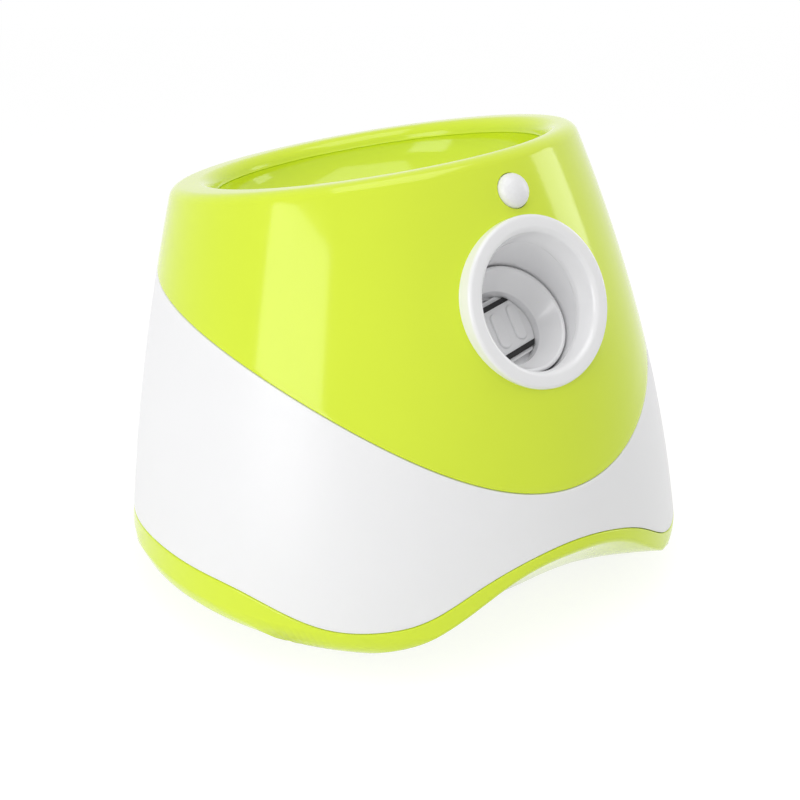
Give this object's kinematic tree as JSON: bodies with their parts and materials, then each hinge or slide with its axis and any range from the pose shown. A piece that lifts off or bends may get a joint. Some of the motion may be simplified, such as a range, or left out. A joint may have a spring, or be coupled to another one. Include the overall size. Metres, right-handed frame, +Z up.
{
  "type": "automatic dog ball launcher",
  "caption": "Round leaning casing with a sloping funnel on top that drops balls to a spring ram, which throws them out of a round front port.",
  "frame": {"origin": "on the floor, under the middle of the casing", "axes": "+Z up, -Y is the front with the ball port, +X is the right side seen from the front's back"},
  "size_m": [0.2844, 0.278, 0.2222],
  "materials": {
    "lime_gloss": "glossy lime plastic",
    "white_satin": "satin white plastic",
    "white_gloss": "glossy white plastic",
    "lens_white": "milky lens plastic",
    "black_rubber": "matte black rubber",
    "grey_plastic": "matte grey plastic",
    "gear_nylon": "natural nylon",
    "steel": "ground steel",
    "spring_steel": "drawn spring wire",
    "zinc_screw": "zinc plated",
    "board_green": "circuit board",
    "cell_jacket": "printed sleeve left plain",
    "clear_pipe": "clear light pipe",
    "black_plastic": "black plastic"
  },
  "bodies": {
    "casing": {"top_shell": "lime_gloss", "hopper_bowl": "lime_gloss", "lower_housing": "white_satin", "base_tray": "lime_gloss", "port_ring": "white_gloss", "sensor_dome": "lens_white", "sensor_board": "board_green", "launch_barrel": "white_satin", "ball_chute": "white_satin", "flag_pin": "steel", "ball_switch": "black_plastic", "spring_anchors": "zinc_screw", "drive_spring_left": "spring_steel", "drive_spring_right": "spring_steel", "motor_can": "steel", "gear_shafts": "steel", "gearbox_plate_left": "grey_plastic", "gearbox_plate_right": "grey_plastic", "gearbox_spacers": "steel", "gearbox_screws": "zinc_screw", "main_board": "board_green", "control_panel": "grey_plastic", "indicator_lights": "clear_pipe", "dc_jack": "black_plastic", "control_board": "board_green", "battery_door": "lime_gloss", "battery_cells": "cell_jacket", "battery_contacts": "spring_steel", "rubber_feet": "black_rubber", "base_screws": "zinc_screw"},
    "ram": {"ram_cup": "white_gloss", "ram_carriage": "white_satin", "ram_bumpers": "black_rubber", "ram_rack": "gear_nylon", "ram_cross_pin": "steel"},
    "sector": {"sector_gear": "gear_nylon", "sector_shaft": "steel"},
    "second": {"gear_second": "gear_nylon"},
    "first": {"gear_first": "gear_nylon"},
    "rotor": {"motor_pinion": "steel", "motor_shaft": "steel"},
    "power_key": {"power_button": "white_gloss"},
    "distance_key": {"distance_button": "white_gloss"},
    "flag": {"ball_flag": "grey_plastic"}
  },
  "joints": [
    {"name": "ram_slide", "type": "slide", "parent": "casing", "child": "ram", "axis": [0, 0.766, -0.6428], "range_m": [0, 0.0691], "deforming": ["drive_spring_left", "drive_spring_right"]},
    {"name": "sector_spin", "type": "hinge", "parent": "casing", "child": "sector", "pos_m": [0, -0.07031, 0.05363], "axis": [-1, 0, 0], "range_deg": [0, 220]},
    {"name": "second_spin", "type": "hinge", "parent": "casing", "child": "second", "pos_m": [0, -0.08851, 0.06192], "axis": [-1, 0, 0], "range_deg": [-660, 0]},
    {"name": "first_spin", "type": "hinge", "parent": "casing", "child": "first", "pos_m": [0, -0.09952, 0.04523], "axis": [-1, 0, 0], "range_deg": [0, 1980]},
    {"name": "motor_spin", "type": "hinge", "parent": "casing", "child": "rotor", "pos_m": [0, -0.08656, 0.03], "axis": [-1, 0, 0], "range_deg": [-5940, 0]},
    {"name": "power_button_press", "type": "slide", "parent": "casing", "child": "power_key", "axis": [0, -1, 0], "range_m": [0, 0.0012], "stiffness_N_per_m": 400},
    {"name": "distance_button_press", "type": "slide", "parent": "casing", "child": "distance_key", "axis": [0, -1, 0], "range_m": [0, 0.0012], "stiffness_N_per_m": 400},
    {"name": "ball_flag_swing", "type": "hinge", "parent": "casing", "child": "flag", "pos_m": [0, 0.0144, 0.1157], "axis": [1, 0, 0], "range_deg": [0, 20], "stiffness_Nm_per_rad": 0.002}
  ],
  "couplings": [
    {"joint": "sector_spin", "follows": "ram_slide", "rad_per_m": 55.556},
    {"joint": "second_spin", "follows": "ram_slide", "rad_per_m": -166.67},
    {"joint": "first_spin", "follows": "ram_slide", "rad_per_m": 500},
    {"joint": "motor_spin", "follows": "ram_slide", "rad_per_m": -1500}
  ]
}
